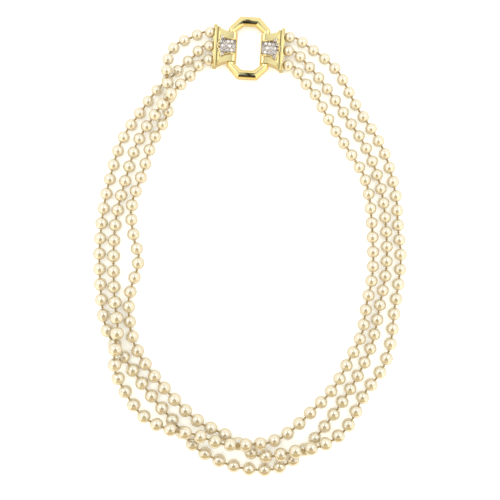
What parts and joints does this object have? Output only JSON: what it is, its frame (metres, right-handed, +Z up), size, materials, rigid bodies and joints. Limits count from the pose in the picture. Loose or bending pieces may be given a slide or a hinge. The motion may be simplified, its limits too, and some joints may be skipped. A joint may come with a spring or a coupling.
{
  "type": "multi strand necklace",
  "caption": "Strands of knotted graduated pearls on an octagonal gold clasp with pave-set end pieces, lying flat as a closed loop.",
  "frame": {"origin": "middle of the whole necklace as it lies, on the surface that it lies on", "axes": "+Y towards the clasp, along the necklace's longest extent; +X to the right as seen from above; +Z up from the surface"},
  "size_m": [0.141, 0.2066, 0.0125],
  "materials": {
    "pearl_outer": "pearl lustre",
    "pearl_middle": "pearl lustre",
    "pearl_inner": "pearl lustre",
    "silk_outer": "twisted silk",
    "silk_middle": "twisted silk",
    "silk_inner": "twisted silk",
    "ring_gold": "polished gold plate",
    "end_gold_left": "polished gold plate",
    "end_gold_right": "polished gold plate",
    "catch_gold_left": "satin gold plate",
    "catch_gold_right": "satin gold plate",
    "stones_left": "cut and polished",
    "stones_right": "cut and polished"
  },
  "bodies": {
    "root": {"pearls_outer": "pearl_outer", "pearls_middle": "pearl_middle", "pearls_inner": "pearl_inner", "thread_outer": "silk_outer", "thread_middle": "silk_middle", "thread_inner": "silk_inner", "clasp_ring": "ring_gold", "end_piece_left": "end_gold_left", "end_piece_right": "end_gold_right", "catch_left": "catch_gold_left", "catch_right": "catch_gold_right", "stones_left": "stones_left", "stones_right": "stones_right"}
  },
  "joints": []
}
